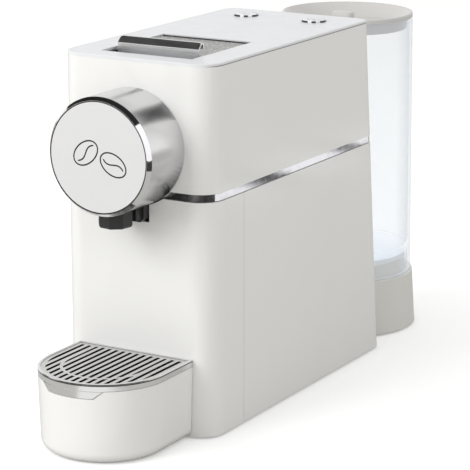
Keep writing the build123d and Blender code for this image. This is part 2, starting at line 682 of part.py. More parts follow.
def tank_shell():
    wall = cone_z(TANK_FOOT_R, TANK_R, TANK_Z0, TANK_Z1, 0, TANK_Y)
    hollow = cone_z(TANK_FOOT_R - TANK_WALL, TANK_R - TANK_WALL, TANK_Z0, TANK_Z1, 0, TANK_Y)
    floor = rod_z(TANK_FOOT_R, TANK_FLOOR_Z - 5, TANK_FLOOR_Z, 0, TANK_Y)
    shell = wall - (hollow - floor)
    shell += rod_z(9.0, 48.4, TANK_FLOOR_Z - 4, 0, OUTLET_Y)
    shell -= rod_z(6.5, 40, TANK_FLOOR_Z - 5, 0, OUTLET_Y)
    shell += rod_z(1.6, TANK_FLOOR_Z - 0.1, TANK_FLOOR_Z + 2.0, 35, TANK_Y + 16)
    return shell - rod_z(4.2, 40, TANK_FLOOR_Z + 1, 0, OUTLET_Y)


def tank_valve():
    disc = rod_z(6.4, TANK_FLOOR_Z + 0.3, TANK_FLOOR_Z + 2.3, 0, OUTLET_Y)
    stem = rod_z(1.5, 57.2, TANK_FLOOR_Z + 0.5, 0, OUTLET_Y)
    post = rod_z(1.5, TANK_FLOOR_Z + 2.2, TANK_FLOOR_Z + 4.6, 0, OUTLET_Y)
    return disc + stem + post


def tank_lid():
    flange_z0 = TANK_Z1 + 0.3
    flange = rod_z(TANK_R - 0.2, flange_z0, LID_TOP, 0, TANK_Y)
    flange = fillet(flange.edges().group_by(Axis.Z)[-1], 0.8)
    skirt_z1 = flange_z0 + 0.1
    skirt = cone_z(LID_SKIRT_R - 1.0, LID_SKIRT_R, LID_SKIRT_Z, skirt_z1, 0, TANK_Y)
    dish_z0 = 236.0
    dish = cone_z(38.0, TANK_R - 2.2, dish_z0, LID_TOP + 0.01, 0, TANK_Y)
    underside = rod_z(LID_SKIRT_R - 3.0, 230, dish_z0 - 1.8, 0, TANK_Y)
    lid = flange + skirt - dish - underside
    grip = block(-12, 5, TANK_Y - 4.5, TANK_Y + 4.5, dish_z0 - 0.5, LID_TOP - 0.6)
    grip = fillet(grip.edges().filter_by(Axis.Z), 3.5)
    grip = fillet(grip.edges().group_by(Axis.Z)[-1], 1.2)
    return lid + grip


# ---- water circuit inside ----
def intake_hose():
    z = 20
    points = [(0, OUTLET_Y, 34), (0, OUTLET_Y, z), (METER_X, OUTLET_Y, z), (METER_X, METER_Y + 20, z)]
    return hose(points, 4.0, 2.6, 8)


def flow_meter_body():
    cup = rod_z(15, 12, 27, METER_X, METER_Y) - rod_z(12, 14, 28, METER_X, METER_Y)
    spigots = rod_y(2.5, METER_Y + 13, METER_Y + 28, METER_X, 20)
    spigots += rod_x(2.5, METER_X + 13, METER_X + 22, METER_Y, 20)
    bores = rod_y(1.5, METER_Y + 10, METER_Y + 30, METER_X, 20)
    bores += rod_x(1.5, METER_X + 10, METER_X + 24, METER_Y, 20)
    legs = rod_z(3, FOOT_H + 2.4, 12.1, METER_X - 9, METER_Y)
    legs += rod_z(3, FOOT_H + 2.4, 12.1, METER_X + 9, METER_Y)
    pin = rod_z(1.2, 13.9, 26.4, METER_X, METER_Y)
    return cup + spigots - bores + legs + pin


def flow_meter_cap():
    return rod_z(15, 27, 29.2, METER_X, METER_Y)


def flow_rotor():
    rotor = rod_z(3.2, 15, 25.4, METER_X, METER_Y)
    for step in range(6):
        vane = block(2.6, 10.6, -0.6, 0.6, 16, 24.4)
        rotor += Pos(METER_X, METER_Y, 0) * Rot(0, 0, 60 * step) * vane
    return rotor - rod_z(1.27, 14, 27, METER_X, METER_Y)


def pump_hose():
    z = 20
    points = [
        (METER_X + 17, METER_Y, z),
        (PUMP_X, METER_Y, z),
        (PUMP_X, METER_Y, PUMP_Z),
        (PUMP_X, 186, PUMP_Z),
    ]
    return hose(points, 4.0, 2.6, 10)


def pump_core():
    tube = rod_y(9.0, 84, 172, PUMP_X, PUMP_Z)
    inlet = rod_y(6.5, 172, 182, PUMP_X, PUMP_Z) + rod_y(2.5, 182, 196, PUMP_X, PUMP_Z)
    outlet = rod_y(7.0, 74, 84, PUMP_X, PUMP_Z) + rod_y(2.4, 66, 74, PUMP_X, PUMP_Z)
    return tube + inlet + outlet - rod_y(1.4, 60, 200, PUMP_X, PUMP_Z)


def pump_coil():
    coil = Pos(PUMP_X, 128, PUMP_Z) * Box(44, 46, 44)
    coil = fillet(coil.edges().filter_by(Axis.Y), 6)
    laminations = Pos(PUMP_X, 128, PUMP_Z) * Box(52, 30, 30)
    body = coil + laminations
    for x in (PUMP_X - 5, PUMP_X + 5):
        body += block(x - 3, x + 3, 118, 119, 84, 92)
    return body - rod_y(9.0, 60, 200, PUMP_X, PUMP_Z)


def pump_bracket():
    foot_z = FOOT_H + 2.4
    floor = block(PUMP_X - 24, PUMP_X + 24, 88, 168, foot_z + 3.6, foot_z + 5.0)
    for y in (92, 162):
        upright = block(PUMP_X - 18, PUMP_X + 18, y - 0.8, y + 0.8, foot_z + 4.8, PUMP_Z + 18)
        floor += upright - rod_y(13.5, y - 2, y + 2, PUMP_X, PUMP_Z)
    return floor


def pump_mounts():
    rings = []
    for y in (92, 162):
        ring = rod_y(13.5, y - 3, y + 3, PUMP_X, PUMP_Z) - rod_y(9.0, y - 4, y + 4, PUMP_X, PUMP_Z)
        rings.append(ring)
    return Compound(rings)


def pressure_hose():
    x = 52.0
    points = [
        (PUMP_X, 66, PUMP_Z),
        (PUMP_X, 54, PUMP_Z),
        (x, 54, PUMP_Z),
        (x, 54, 120),
        (x, 152, 150),
        (x, 152, 209),
        (31.5, 152, 209),
    ]
    return hose(points, 2.5, 1.4, 9)


def thermoblock():
    block_part = slab(30, 132, 174, 178, 240)
    block_part = fillet(block_part.edges().filter_by(Axis.Y), 8)
    for z in (186, 200, 214, 228):
        block_part += rod_x(4.5, -32, 30, 172, z)
    block_part -= rod_x(2.6, 20, 40, 152, 209)
    return block_part - rod_y(3.0, 120, 150, 0, HEAD_Z)


def feed_gland():
    gland = rod_y(7.5, 99, 130, 0, HEAD_Z) + rod_y(11, 129, 132, 0, HEAD_Z)
    return gland - rod_y(3.06, 90, 128, 0, HEAD_Z) - rod_y(2.0, 120, 140, 0, HEAD_Z)


def thermostats():
    pieces = []
    for x in (-14, 14):
        pieces.append(rod_z(8, 240, 247, x, 158))
    for x in (-20, 20):
        pieces.append(block(x - 3, x + 3, 174, 186, 192.5, 193.5))
    return Compound(pieces)


def thermoblock_bracket():
    plate = slab(46, 140, 166, 171, 172.6)
    posts = mirrored(rod_z(4, 172.6, 178, 18, 153))
    arm = slab(46, 98, 140.5, 171, 172.6) - slab(30, 100, 139, 160, 180)
    return plate + arm + posts


def control_board():
    return block(-51.8, -50.2, 70, 160, 60, 140)


def board_parts():
    pieces = [
        block(-50.2, -36, 78, 98, 70, 90),
        block(-50.2, -34, 108, 126, 68, 84),
        rod_x(6, -50.2, -32, 140, 80),
        rod_x(5, -50.2, -34, 92, 112),
        block(-50.2, -42, 110, 150, 118, 132),
        block(-50.2, -47.6, 116, 128, 98, 106),
    ]
    return Compound(pieces)


def cord_gland():
    x0 = -PEDESTAL_R - 3.6
    x1 = -PEDESTAL_R + 6.4
    gland = rod_x(5.9, x0 + 2.2, x1, TANK_Y, 20) + rod_x(8.5, x1 - 2.4, x1, TANK_Y, 20)
    return gland - rod_x(3.6, x0 - 5, x1 + 5, TANK_Y, 20)


def frame_screws():
    screws = []
    for x in (-26, 26):
        for z in (178, 213):
            screws.append(rod_y(2.6, 9.8, 12, x, z))
    for x in (-40, 40):
        screws.append(rod_z(2.6, 172.6, 174.6, x, 153))
    return Compound(screws)


PARTS = {
    "lower_casing": lower_casing,
    "upper_casing": upper_casing,
    "chrome_band": chrome_band,
    "top_cover": top_cover,
    "base_plate": base_plate,
    "rubber_feet": rubber_feet,
    "casing_screws": casing_screws,
    "bulkhead": bulkhead,
    "head_shell": head_shell,
    "head_bezel": head_bezel,
    "head_disc": head_disc,
    "spout_nozzle": spout_nozzle,
    "spout_carrier": spout_carrier,
    "brew_frame": brew_frame,
    "guide_rods": guide_rods,
    "brew_seat": brew_seat,
    "seat_gasket": seat_gasket,
    "outlet_pipe": outlet_pipe,
    "pod_chute": pod_chute,
    "pod_deflector": pod_deflector,
    "piston_body": piston_body,
    "piston_seal": piston_seal,
    "shower_screen": shower_screen,
    "cam_pins": cam_pins,
    "feed_pipe": feed_pipe,
    "lever_carrier": lever_carrier,
    "lever_plate": lever_plate,
    "lever_hinge_pin": lever_hinge_pin,
    "door_microswitch": door_microswitch,
    "key_board": key_board,
    "pod_bin": pod_bin,
    "drip_tray": drip_tray,
    "grille_rim": grille_rim,
    "grille_plate": grille_plate,
    "tank_pedestal": tank_pedestal,
    "tank_nipple": tank_nipple,
    "nipple_seal": nipple_seal,
    "tank_shell": tank_shell,
    "tank_valve": tank_valve,
    "tank_lid": tank_lid,
    "intake_hose": intake_hose,
    "flow_meter_body": flow_meter_body,
    "flow_meter_cap": flow_meter_cap,
    "flow_rotor": flow_rotor,
    "pump_hose": pump_hose,
    "pump_core": pump_core,
    "pump_coil": pump_coil,
    "pump_bracket": pump_bracket,
    "pump_mounts": pump_mounts,
    "pressure_hose": pressure_hose,
    "thermoblock": thermoblock,
    "feed_gland": feed_gland,
    "thermostats": thermostats,
    "thermoblock_bracket": thermoblock_bracket,
    "control_board": control_board,
    "board_parts": board_parts,
    "cord_gland": cord_gland,
    "frame_screws": frame_screws,
}

os.makedirs("parts", exist_ok=True)
for part_name, make in PARTS.items():
    save(make(), part_name)
save(button(-BUTTON_X), "button_left")
save(button(BUTTON_X), "button_right")
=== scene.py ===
import json
import math

import bmesh
import bpy
from mathutils import Matrix, Vector


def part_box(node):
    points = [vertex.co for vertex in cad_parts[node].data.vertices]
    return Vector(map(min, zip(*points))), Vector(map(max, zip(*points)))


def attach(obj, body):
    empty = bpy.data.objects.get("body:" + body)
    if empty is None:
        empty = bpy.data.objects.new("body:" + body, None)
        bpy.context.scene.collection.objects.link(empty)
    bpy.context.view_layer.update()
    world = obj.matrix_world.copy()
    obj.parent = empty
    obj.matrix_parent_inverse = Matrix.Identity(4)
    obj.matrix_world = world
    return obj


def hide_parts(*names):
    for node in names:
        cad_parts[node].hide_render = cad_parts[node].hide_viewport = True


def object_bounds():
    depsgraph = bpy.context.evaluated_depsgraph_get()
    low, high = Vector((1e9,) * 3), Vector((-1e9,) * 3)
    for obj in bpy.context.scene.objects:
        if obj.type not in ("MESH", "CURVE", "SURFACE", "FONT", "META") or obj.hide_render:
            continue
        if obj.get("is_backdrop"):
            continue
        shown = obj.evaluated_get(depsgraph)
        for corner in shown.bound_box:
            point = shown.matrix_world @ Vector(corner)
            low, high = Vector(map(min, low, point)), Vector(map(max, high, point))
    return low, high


# Looks of the pod coffee machine. Metres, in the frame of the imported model: +Z up, the front faces -Y.

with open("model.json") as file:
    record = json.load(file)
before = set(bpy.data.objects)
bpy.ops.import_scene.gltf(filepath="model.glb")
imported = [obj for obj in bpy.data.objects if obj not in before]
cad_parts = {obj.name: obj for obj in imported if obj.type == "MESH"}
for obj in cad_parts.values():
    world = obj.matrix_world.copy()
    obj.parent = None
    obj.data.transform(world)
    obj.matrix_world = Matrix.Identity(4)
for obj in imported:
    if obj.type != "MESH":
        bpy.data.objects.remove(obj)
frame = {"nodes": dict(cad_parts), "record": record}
cad_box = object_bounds()
nodes = frame["nodes"]

MM = 0.001


# ---- places read from the frame ----
def centre_of(node):
    low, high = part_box(node)
    return (low + high) / 2


FRONT_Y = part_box("upper_casing")[0].y
disc_low, disc_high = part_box("head_disc")
HEAD_Z = (disc_low.z + disc_high.z) / 2
DISC_FACE_Y = disc_low.y
DISC_R = (disc_high.x - disc_low.x) / 2
DRUM_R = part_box("head_shell")[1].x
tank_low, tank_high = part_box("tank_shell")
TANK_AXIS = centre_of("tank_shell")
TANK_FOOT_R = (tank_high.x - tank_low.x) / 2
TANK_TAPER = 1.6 * MM
TANK_R = TANK_FOOT_R - TANK_TAPER
PLATE_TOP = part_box("lever_carrier")[1].z - 0.5 * MM
COVER_JOINT_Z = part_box("upper_casing")[1].z + 0.7 * MM
RIM_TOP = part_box("grille_rim")[1].z
LID_DISH_Z = 236.0 * MM


# ---- camera ----
def make_camera():
    """The view of the front and the right side, from a little above."""
    data = bpy.data.cameras.new("view_camera")
    camera = bpy.data.objects.new("view_camera", data)
    bpy.context.scene.collection.objects.link(camera)
    data.sensor_width = 36
    data.lens = 170.4
    data.clip_end = 60
    azimuth = math.radians(30.18)
    elevation = math.radians(14.31)
    camera.location = (0.77813, FRONT_Y - 1.20506, 0.50066)
    camera.rotation_euler = (math.pi / 2 - elevation, 0, azimuth)
    bpy.context.scene.camera = camera


# ---- material helpers ----
class Shader:
    """A Principled material with a few shortcuts for the nodes that feed it."""

    def __init__(self, name):
        self.material = bpy.data.materials.new(name)
        self.material.use_nodes = True
        self.tree = self.material.node_tree
        self.tree.nodes.clear()
        output = self.add("ShaderNodeOutputMaterial")
        self.bsdf = self.add("ShaderNodeBsdfPrincipled")
        self.tree.links.new(self.bsdf.outputs["BSDF"], output.inputs["Surface"])
        self.coords = self.add("ShaderNodeTexCoord").outputs["Object"]

    def add(self, kind, **settings):
        node = self.tree.nodes.new(kind)
        for key, value in settings.items():
            setattr(node, key, value)
        return node

    def link(self, source, target):
        self.tree.links.new(source, target)

    def set(self, **values):
        """Fixed values for the shader's sockets, such as metallic=1.0 or coat_roughness=0.08."""
        names = {
            "metallic": "Metallic",
            "coat": "Coat Weight",
            "coat_roughness": "Coat Roughness",
            "alpha": "Alpha",
            "glow": "Emission Strength",
            "glow_colour": "Emission Color",
        }
        for key, value in values.items():
            self.bsdf.inputs[names[key]].default_value = value
        return self

    def stretched(self, scale):
        mapping = self.add("ShaderNodeMapping")
        mapping.inputs["Scale"].default_value = scale
        self.link(self.coords, mapping.inputs["Vector"])
        return mapping.outputs["Vector"]

    def noise(self, scale, detail=3.0, vector=None):
        node = self.add("ShaderNodeTexNoise")
        node.inputs["Scale"].default_value = scale
        node.inputs["Detail"].default_value = detail
        self.link(vector or self.coords, node.inputs["Vector"])
        return node.outputs["Fac"]

    def ramp(self, source, low, high, start=0.0, end=1.0):
        """Maps start..end of source to the colours or numbers low..high."""
        node = self.add("ShaderNodeMapRange")
        node.inputs["From Min"].default_value = start
        node.inputs["From Max"].default_value = end
        node.inputs["To Min"].default_value = low
        node.inputs["To Max"].default_value = high
        self.link(source, node.inputs["Value"])
        return node.outputs["Result"]

    def mix(self, source, colour_a, colour_b):
        node = self.add("ShaderNodeMix", data_type="RGBA")
        for socket, value in (("A", colour_a), ("B", colour_b)):
            target = [s for s in node.inputs if s.name == socket and s.type == "RGBA"][0]
            if isinstance(value, tuple):
                target.default_value = (*value, 1)
            else:
                self.link(value, target)
        factor = [s for s in node.inputs if s.name == "Factor" and s.type == "VALUE"][0]
        self.link(source, factor)
        return [s for s in node.outputs if s.type == "RGBA"][0]

    def facing(self, axis, both=False):
        """How far the surface faces along an axis: 1 along it, and 1 against it too with both."""
        parts = self.add("ShaderNodeSeparateXYZ")
        self.link(self.add("ShaderNodeNewGeometry").outputs["Normal"], parts.inputs["Vector"])
        out = parts.outputs[axis.upper()]
        if both:
            size = self.add("ShaderNodeMath", operation="ABSOLUTE")
            self.link(out, size.inputs[0])
            out = size.outputs["Value"]
        return out

    def height(self):
        """The piece's own Z, in metres."""
        parts = self.add("ShaderNodeSeparateXYZ")
        self.link(self.coords, parts.inputs["Vector"])
        return parts.outputs["Z"]

    def product(self, a, b):
        node = self.add("ShaderNodeMath", operation="MULTIPLY")
        self.link(a, node.inputs[0])
        self.link(b, node.inputs[1])
        return node.outputs["Value"]

    def colour(self, source):
        self.link(source, self.bsdf.inputs["Base Color"])
        return self

    def roughness(self, source):
        self.link(source, self.bsdf.inputs["Roughness"])
        return self

    def bump(self, source, depth, strength=1.0):
        node = self.add("ShaderNodeBump")
        node.inputs["Strength"].default_value = strength
        node.inputs["Distance"].default_value = depth
        self.link(source, node.inputs["Height"])
        self.link(node.outputs["Normal"], self.bsdf.inputs["Normal"])
        return self


def shade(colour, factor):
    return tuple(min(1.0, c * factor) for c in colour)


def moulded(name, colour, rough, grain_depth, grain_scale=2600, coat=0.0):
    """Moulded plastic: faint flow marks in the colour, uneven gloss and a fine surface grain."""
    s = Shader(name)
    flow = s.noise(18, 4, s.stretched((1, 1, 0.35)))
    s.colour(s.mix(flow, shade(colour, 0.98), shade(colour, 1.02)))
    s.roughness(s.ramp(s.noise(90, 5), rough * 0.85, rough * 1.2, 0.3, 0.7))
    s.bump(s.noise(grain_scale, 2), grain_depth, 0.6)
    if coat:
        s.set(coat=coat, coat_roughness=0.08)
    return s.material


def polished(name, colour, rough, uneven=0.3):
    """Plated chrome: a clear mirror with faint waves and wiping marks."""
    s = Shader(name)
    s.set(metallic=1.0)
    smudge = s.noise(60, 6)
    s.colour(s.mix(smudge, shade(colour, 0.97), shade(colour, 1.02)))
    s.roughness(s.ramp(s.noise(140, 4), rough * (1 - uneven), rough * (1 + uneven), 0.3, 0.7))
    s.bump(s.noise(35, 1), 0.00008 * uneven, 0.4)
    return s.material


def brushed(name, colour, rough, along):
    """Brushed metal: fine scratches along one axis, given as a letter."""
    s = Shader(name)
    s.set(metallic=1.0)
    scale = {"x": (12, 900, 900), "y": (900, 12, 900), "z": (900, 900, 12)}[along]
    lines = s.noise(3.0, 4, s.stretched(scale))
    broad = s.noise(30, 2)
    tone = s.mix(lines, shade(colour, 0.80), shade(colour, 1.10))
    s.colour(s.mix(s.ramp(broad, 0.0, 0.25), tone, shade(colour, 0.9)))
    s.roughness(s.ramp(lines, rough * 0.8, rough * 1.35, 0.3, 0.7))
    s.bump(lines, 0.00005, 0.5)
    return s.material


def rubbery(name, colour, rough=0.6):
    s = Shader(name)
    s.colour(s.mix(s.noise(300, 4), shade(colour, 0.8), shade(colour, 1.3)))
    s.roughness(s.ramp(s.noise(120, 3), rough * 0.9, rough * 1.15, 0.3, 0.7))
    s.bump(s.noise(1800, 3), 0.00006, 0.6)
    return s.material


def clear_plastic():
    """The tank's thin clear plastic: it lets light through, and shows more of its tint edge-on.
    Its level floor is denser than its walls and is painted whiter to stand for light inside the tank, and the
    whole tank glows faintly with painted light, its floor most."""
    s = Shader("tank_clear_plastic")
    level = s.ramp(s.facing("z", both=True), 0.0, 1.0, 0.75, 0.97)
    wall = s.mix(s.noise(14, 2), (0.78, 0.83, 0.88), (0.81, 0.85, 0.89))
    # painted light: the level floor gets a whiter colour than the walls
    s.colour(s.mix(level, wall, (0.93, 0.94, 0.97)))
    s.roughness(s.ramp(s.noise(70, 4), 0.04, 0.10, 0.35, 0.75))
    s.bump(s.noise(22, 1), 0.00006, 0.25)
    # painted light: the tank glows faintly, its floor more than its walls
    s.set(glow_colour=(0.80, 0.88, 1.0, 1))
    s.link(s.ramp(level, 0.16, 0.30), s.bsdf.inputs["Emission Strength"])
    weight = s.add("ShaderNodeLayerWeight")
    weight.inputs["Blend"].default_value = 0.5
    thin = s.ramp(weight.outputs["Facing"], 0.14, 0.52, 0.4, 1.0)
    alpha = s.add("ShaderNodeMath", operation="MAXIMUM")
    s.link(thin, alpha.inputs[0])
    s.link(s.ramp(level, 0.0, 0.62), alpha.inputs[1])
    s.link(alpha.outputs["Value"], s.bsdf.inputs["Alpha"])
    return s.material


def lever_steel(plate_top):
    """The lever's sheet: brushed on the grip, with a rolled pattern of small dots on its level plate."""
    s = Shader("lever_steel")
    s.set(metallic=1.0)
    lines = s.noise(3.0, 4, s.stretched((12, 900, 900)))
    brushed_tone = s.mix(lines, (0.64, 0.64, 0.64), (0.86, 0.86, 0.86))
    cells = s.add("ShaderNodeTexVoronoi")
    cells.inputs["Scale"].default_value = 520
    cells.inputs["Randomness"].default_value = 0.6
    s.link(s.coords, cells.inputs["Vector"])
    dots = s.ramp(cells.outputs["Distance"], 0.0, 1.0, 0.25, 0.5)
    dotted_tone = s.mix(dots, (0.62, 0.62, 0.62), (0.26, 0.26, 0.26))
    low = s.ramp(s.height(), 1.0, 0.0, plate_top + 0.3 * MM, plate_top + 0.8 * MM)
    level = s.product(low, s.ramp(s.facing("z"), 0.0, 1.0, 0.9, 0.99))
    s.colour(s.mix(level, brushed_tone, dotted_tone))
    s.roughness(s.ramp(lines, 0.26, 0.40, 0.3, 0.7))
    s.bump(lines, 0.00003, 0.5)
    return s.material


def grille_steel():
    """The grille's sheet: brushed on top, black on the walls of its slots."""
    s = Shader("grille_brushed_steel")
    lines = s.noise(3.0, 4, s.stretched((900, 12, 900)))
    top = s.ramp(s.facing("z"), 0.0, 1.0, 0.5, 0.8)
    s.link(top, s.bsdf.inputs["Metallic"])
    steel = s.mix(lines, (0.56, 0.56, 0.56), (0.80, 0.80, 0.80))
    s.colour(s.mix(top, (0.012, 0.012, 0.012), steel))
    s.roughness(s.ramp(lines, 0.22, 0.38, 0.3, 0.7))
    s.bump(lines, 0.00005, 0.5)
    return s.material


def rim_steel(shadow_line_low, shadow_line_high):
    """The tray rim: satin chrome with a fine dark line of painted shade round it just under its top edge,
    standing for the shadow gap there.
    """
    s = Shader("rim_satin_chrome")
    lines = s.noise(3.0, 4, s.stretched((12, 900, 900)))
    steel = s.mix(lines, (0.70, 0.70, 0.70), (0.86, 0.86, 0.86))
    # painted shade: a black band standing for the shadow gap under the rim's top edge
    line = s.add("ShaderNodeMath", operation="COMPARE")
    s.link(s.height(), line.inputs[0])
    line.inputs[1].default_value = (shadow_line_low + shadow_line_high) / 2
    line.inputs[2].default_value = (shadow_line_high - shadow_line_low) / 2
    s.link(s.ramp(line.outputs["Value"], 1.0, 0.0), s.bsdf.inputs["Metallic"])
    s.colour(s.mix(line.outputs["Value"], steel, (0.01, 0.01, 0.01)))
    s.roughness(s.ramp(lines, 0.14, 0.24, 0.3, 0.7))
    s.bump(lines, 0.00003, 0.25)
    return s.material


def cover_satin(colour, line_top):
    """The top cover's plastic, with the shadow of its joint with the casing along its two long sides."""
    s = Shader("cover_satin_white")
    flow = s.noise(18, 4, s.stretched((1, 1, 0.35)))
    plastic = s.mix(flow, shade(colour, 0.98), shade(colour, 1.02))
    low = s.ramp(s.height(), 1.0, 0.0, line_top - 0.1 * MM, line_top)
    joint = s.product(low, s.ramp(s.facing("x", both=True), 0.0, 1.0, 0.6, 0.95))
    s.colour(s.mix(joint, plastic, shade(colour, 0.3)))
    s.roughness(s.ramp(s.noise(90, 5), 0.29, 0.41, 0.3, 0.7))
    s.bump(s.noise(3200, 2), 0.00002, 0.6)
    return s.material


def board_green():
    """Circuit board: solder mask with faint square tracks."""
    s = Shader("board_green")
    bricks = s.add("ShaderNodeTexBrick")
    bricks.inputs["Scale"].default_value = 160
    bricks.inputs["Mortar Size"].default_value = 0.03
    bricks.inputs["Color1"].default_value = (0.01, 0.12, 0.05, 1)
    bricks.inputs["Color2"].default_value = (0.012, 0.15, 0.06, 1)
    bricks.inputs["Mortar"].default_value = (0.02, 0.22, 0.09, 1)
    mapping = s.add("ShaderNodeMapping")
    mapping.inputs["Rotation"].default_value = (0, math.pi / 2, 0)
    s.link(s.coords, mapping.inputs["Vector"])
    s.link(mapping.outputs["Vector"], bricks.inputs["Vector"])
    s.colour(bricks.outputs["Color"])
    s.roughness(s.ramp(s.noise(200, 3), 0.25, 0.4))
    s.bump(bricks.outputs["Fac"], 0.00003, 0.5)
    return s.material


def make_ink(name, colour):
    s = Shader(name)
    s.colour(s.mix(s.noise(900, 3), shade(colour, 0.85), shade(colour, 1.2)))
    s.roughness(s.ramp(s.noise(400, 3), 0.35, 0.5))
    s.bump(s.noise(2500, 2), 0.00001, 0.5)
    return s.material


# the materials of the record's slots
materials = {
    "casing_white": moulded("casing_gloss_white", (0.86, 0.86, 0.85), 0.16, 0.000004, coat=0.35),
    "casing_greige": moulded("casing_satin_greige", (0.74, 0.74, 0.705), 0.33, 0.000015, 3200),
    "button_white": moulded("button_satin_white", (0.82, 0.83, 0.85), 0.3, 0.00001),
    "chrome": polished("plated_chrome", (0.78, 0.78, 0.79), 0.07),
    "disc_satin": moulded("disc_satin_lacquer", (0.70, 0.70, 0.71), 0.34, 0.000006, 4000),
    "steel": brushed("plain_steel", (0.50, 0.50, 0.51), 0.35, "z"),
    "plastic_black": moulded("black_grained_plastic", (0.022, 0.022, 0.023), 0.36, 0.00004, 1800),
    "base_black": moulded("dark_base_plastic", (0.035, 0.035, 0.036), 0.5, 0.00005, 1600),
    "rubber_black": rubbery("black_rubber", (0.03, 0.03, 0.03)),
    "silicone": rubbery("milky_silicone", (0.62, 0.61, 0.57), 0.4),
    "ptfe": rubbery("milky_ptfe", (0.75, 0.74, 0.70), 0.3),
    "clear_tank": clear_plastic(),
    "brass": brushed("machined_brass", (0.62, 0.46, 0.20), 0.25, "y"),
    "aluminium": brushed("cast_aluminium", (0.55, 0.55, 0.57), 0.5, "z"),
    "pump_coil": moulded("coil_plastic", (0.06, 0.06, 0.065), 0.45, 0.00005, 1200),
    "thermostat": moulded("ceramic_plastic", (0.48, 0.45, 0.38), 0.45, 0.00004, 1500),
    "circuit_board": board_green(),
    "board_parts": moulded("component_plastic", (0.03, 0.03, 0.04), 0.35, 0.00003, 1500),
}
# the nodes with a finish of their own, in place of their slot's
node_materials = {
    "lever_plate": lever_steel(PLATE_TOP),
    "grille_plate": grille_steel(),
    "head_shell": polished("drum_soft_chrome", (0.73, 0.73, 0.74), 0.24, 0.05),
    "grille_rim": rim_steel(RIM_TOP - 1.3 * MM, RIM_TOP - 0.6 * MM),
    "top_cover": cover_satin((0.775, 0.78, 0.80), COVER_JOINT_Z),
}

# Painted shade: the lid's greige is a darker copy of the casing's greige plastic, darkened for the shade it
# stands in.
lid_greige_painted_shade = moulded("lid_satin_greige_painted_shade", (0.62, 0.605, 0.59), 0.33, 0.000015, 3200)
# painted reflection: the black of the strips on the buttons' side walls
reflection_strip_black = moulded("gloss_black_painted_reflection", (0.012, 0.012, 0.013), 0.18, 0.000005, coat=0.5)
# black for the print on the disc and for the painted shade line in the disc's groove
black_print_and_shade = make_ink("black_print_and_groove_shade", (0.008, 0.008, 0.009))
grey_ink = make_ink("grey_ink", (0.12, 0.12, 0.125))


def dress_frame():
    """Gives every CAD node its material."""
    for row in frame["record"]["subparts"]:
        node = row["node"]
        material = node_materials.get(node) or materials[row["material_slot"]]
        mesh = nodes[node].data
        mesh.materials.clear()
        mesh.materials.append(material)


def soften_edges():
    """Small rounds on the sharp edges of the mouldings."""
    widths = {
        "upper_casing": 0.5, "lower_casing": 0.4, "pod_bin": 0.4, "drip_tray": 0.5,
        "tank_pedestal": 0.4, "head_bezel": 0.15, "spout_nozzle": 0.3, "spout_carrier": 0.3,
        "lever_plate": 0.25,
    }
    for node, width in widths.items():
        bevel = nodes[node].modifiers.new("soft_edges", "BEVEL")
        bevel.width = width * MM
        bevel.segments = 2
        bevel.limit_method = "ANGLE"
        bevel.angle_limit = math.radians(50)


# ---- mesh helpers ----
def new_piece(name, mesh, material, body):
    """A piece of the visual that moves with a body of the frame."""
    piece = bpy.data.objects.new(name, mesh)
    bpy.context.scene.collection.objects.link(piece)
    mesh.materials.append(material)
    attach(piece, body)
    return piece


def smooth(mesh, angle=35):
    mesh.polygons.foreach_set("use_smooth", [True] * len(mesh.polygons))
    mesh.set_sharp_from_angle(angle=math.radians(angle))


def rounded(points, steps=5):
    """A profile of (r, z) or (r, z, corner radius) points with its corners rounded by arcs."""
    out = []
    count = len(points)
    for index, point in enumerate(points):
        here = Vector(point[:2])
        radius = point[2] if len(point) > 2 else 0
        before = Vector(points[index - 1][:2]) if index else None
        after = Vector(points[index + 1][:2]) if index < count - 1 else None
        if not radius or before is None or after is None:
            out.append(here)
            continue
        a = (before - here).normalized()
        b = (after - here).normalized()
        half = math.acos(max(-1, min(1, a.dot(b)))) / 2
        reach = min(radius / math.tan(half), (before - here).length * 0.49, (after - here).length * 0.49)
        radius = reach * math.tan(half)
        centre = here + (a + b).normalized() * (radius / math.sin(half))
        start = here + a * reach - centre
        end = here + b * reach - centre
        turn = start.angle_signed(end)
        for step in range(steps + 1):
            angle = -turn * step / steps
            out.append(centre + Matrix.Rotation(angle, 2) @ start)
    return out


def lathe(name, profile, centre, segments=160):
    """A closed body of revolution about an upright axis, from the (r, z) points of its closed outline."""
    mesh = bpy.data.meshes.new(name)
    vertices = []
    faces = []
    rings = []
    for point in profile:
        if point.x < 1e-6:
            rings.append([len(vertices)])
            vertices.append((centre.x, centre.y, point.y))
            continue
        rings.append(range(len(vertices), len(vertices) + segments))
        for k in range(segments):
            angle = 2 * math.pi * k / segments
            x = centre.x + point.x * math.cos(angle)
            y = centre.y + point.x * math.sin(angle)
            vertices.append((x, y, point.y))
    for lower, upper in zip(rings, rings[1:] + rings[:1]):
        for k in range(segments):
            after = (k + 1) % segments
            corners = [lower[k % len(lower)], lower[after % len(lower)]]
            corners += [upper[after % len(upper)], upper[k % len(upper)]]
            face = list(dict.fromkeys(corners))
            if len(face) > 2:
                faces.append(face)
    mesh.from_pydata(vertices, [], faces)
    fix_normals(mesh)
    smooth(mesh)
    return mesh


def fix_normals(mesh):
    work = bmesh.new()
    work.from_mesh(mesh)
    bmesh.ops.recalc_face_normals(work, faces=work.faces)
    work.to_mesh(mesh)
    work.free()


